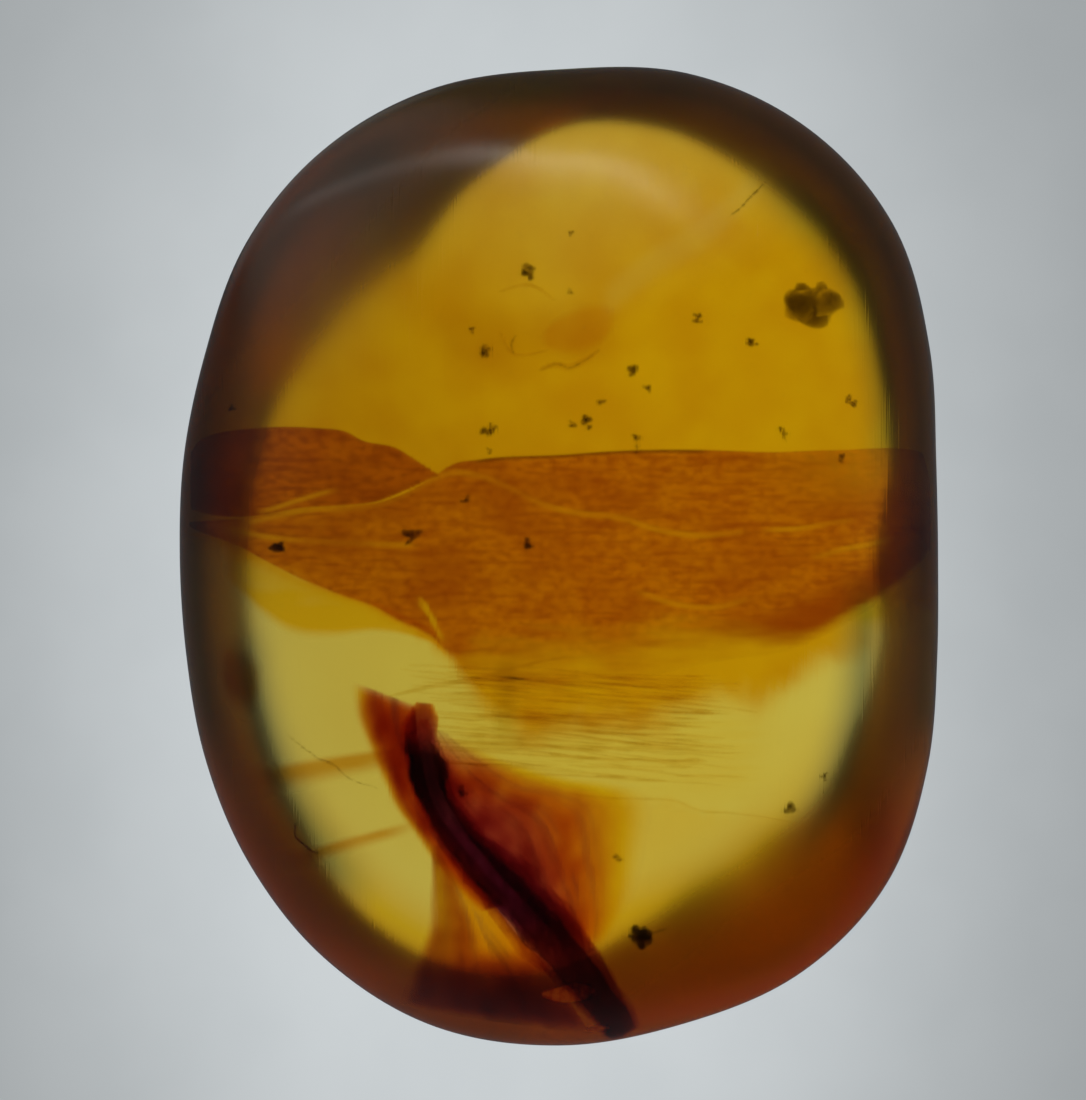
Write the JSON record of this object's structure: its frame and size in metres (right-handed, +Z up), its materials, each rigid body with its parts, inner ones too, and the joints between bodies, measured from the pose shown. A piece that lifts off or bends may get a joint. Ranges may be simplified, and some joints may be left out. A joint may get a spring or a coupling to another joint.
{
  "type": "plant inclusion in amber",
  "caption": "Polished domed piece of clear amber with a brown leaf blade and a dark stem with reddish bracts sealed inside, lying on its flat bevelled back.",
  "frame": {"origin": "middle of the footprint, on the surface that the flat back rests on", "axes": "+Z up, out of the domed face; +Y along the stone's length, away from the stem's foot; +X across it, to the right with the domed face up"},
  "size_m": [0.0217, 0.0278, 0.0076],
  "materials": {
    "amber": "clear honey-yellow resin, polished",
    "leaf": "brown, translucent, finely veined",
    "stem": "near black, matt",
    "bract": "dark red, translucent",
    "bract_base": "orange-brown, translucent",
    "debris": "dark brown, matt"
  },
  "bodies": {
    "root": {"amber_upper": "amber", "amber_lower": "amber", "leaf_blade": "leaf", "twig_stem": "stem", "bract_left": "bract", "bract_right": "bract", "bract_base": "bract_base", "speck_1": "debris", "speck_2": "debris", "speck_3": "debris", "speck_4": "debris", "speck_5": "debris", "speck_6": "debris", "speck_7": "debris", "speck_8": "debris", "speck_9": "debris", "speck_10": "debris", "speck_11": "debris"}
  },
  "joints": []
}
